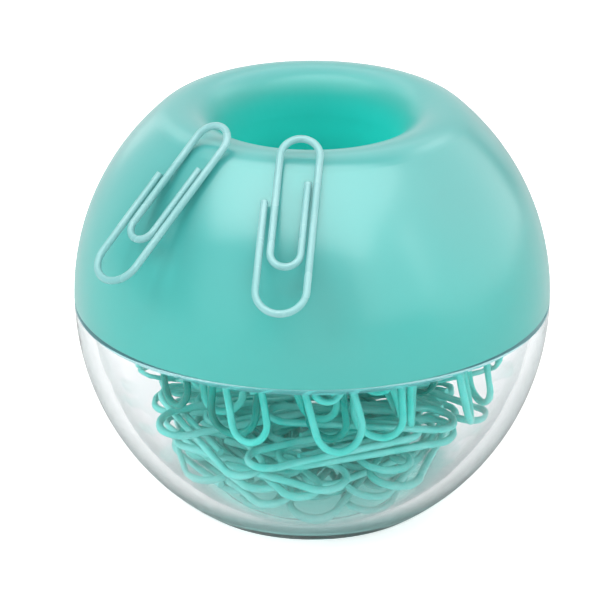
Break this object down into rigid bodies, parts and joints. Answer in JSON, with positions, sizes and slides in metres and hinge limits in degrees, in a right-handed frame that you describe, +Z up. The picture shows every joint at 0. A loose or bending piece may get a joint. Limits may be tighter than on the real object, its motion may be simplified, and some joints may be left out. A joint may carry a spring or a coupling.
{
  "type": "magnetic paper clip holder",
  "caption": "Ball-shaped desk holder: clear bowl of paper clips under a glossy dome with a wide mouth, whose lip hides a ring magnet that clips cling to.",
  "frame": {"origin": "on the desk, under the middle of the ball", "axes": "+Z up along the ball's axis, front at -Y, where a clip clings to the lip"},
  "size_m": [0.07, 0.0749, 0.0635],
  "materials": {
    "dome_plastic": "glossy aqua moulding",
    "clear_plastic": "clear polished moulding",
    "carrier_plastic": "satin aqua moulding",
    "ferrite": "dark grey sintered magnet",
    "clip_coating": "steel wire with a pale aqua vinyl coat"
  },
  "bodies": {
    "bowl": {"bowl": "clear_plastic", "pile_clips_01": "clip_coating", "pile_clips_02": "clip_coating", "pile_clips_03": "clip_coating", "pile_clips_04": "clip_coating", "pile_clips_05": "clip_coating", "pile_clips_06": "clip_coating", "pile_clips_07": "clip_coating", "pile_clips_08": "clip_coating", "pile_clips_09": "clip_coating", "pile_clips_10": "clip_coating", "pile_clips_11": "clip_coating", "pile_clips_12": "clip_coating", "pile_clips_13": "clip_coating", "pile_clips_14": "clip_coating", "pile_clips_15": "clip_coating", "pile_clips_16": "clip_coating", "pile_clips_17": "clip_coating", "pile_clips_18": "clip_coating", "pile_clips_19": "clip_coating", "pile_clips_20": "clip_coating"},
    "dome": {"dome": "dome_plastic", "ring_magnet": "ferrite", "magnet_carrier": "carrier_plastic", "hanging_clip_01": "clip_coating", "hanging_clip_02": "clip_coating", "hanging_clip_03": "clip_coating", "hanging_clip_04": "clip_coating", "hanging_clip_05": "clip_coating", "hanging_clip_06": "clip_coating", "hanging_clip_07": "clip_coating", "hanging_clip_08": "clip_coating", "hanging_clip_09": "clip_coating", "hanging_clip_10": "clip_coating", "hanging_clip_11": "clip_coating", "hanging_clip_12": "clip_coating", "hanging_clip_13": "clip_coating", "hanging_clip_14": "clip_coating", "hanging_clip_15": "clip_coating", "hanging_clip_16": "clip_coating", "hanging_clip_17": "clip_coating", "hanging_clip_18": "clip_coating", "hanging_clip_19": "clip_coating", "hanging_clip_20": "clip_coating", "hanging_clip_21": "clip_coating", "hanging_clip_22": "clip_coating", "hanging_clip_23": "clip_coating", "hanging_clip_24": "clip_coating", "hanging_clip_25": "clip_coating", "hanging_clip_26": "clip_coating", "hanging_clip_27": "clip_coating", "hanging_clip_28": "clip_coating", "hanging_clip_29": "clip_coating", "hanging_clip_30": "clip_coating", "hanging_clip_31": "clip_coating", "hanging_clip_32": "clip_coating"},
    "front_clip": {"clip_front": "clip_coating"},
    "left_clip": {"clip_left": "clip_coating"}
  },
  "joints": [
    {"name": "dome_lift", "type": "slide", "parent": "bowl", "child": "dome", "axis": [0, 0, 1], "range_m": [0, 0.045]},
    {"name": "front_clip_pull", "type": "slide", "parent": "dome", "child": "front_clip", "axis": [-0.0744, -0.6531, 0.7536], "range_m": [0, 0.025]},
    {"name": "left_clip_pull", "type": "slide", "parent": "dome", "child": "left_clip", "axis": [-0.4682, -0.4798, 0.742], "range_m": [0, 0.025]}
  ]
}
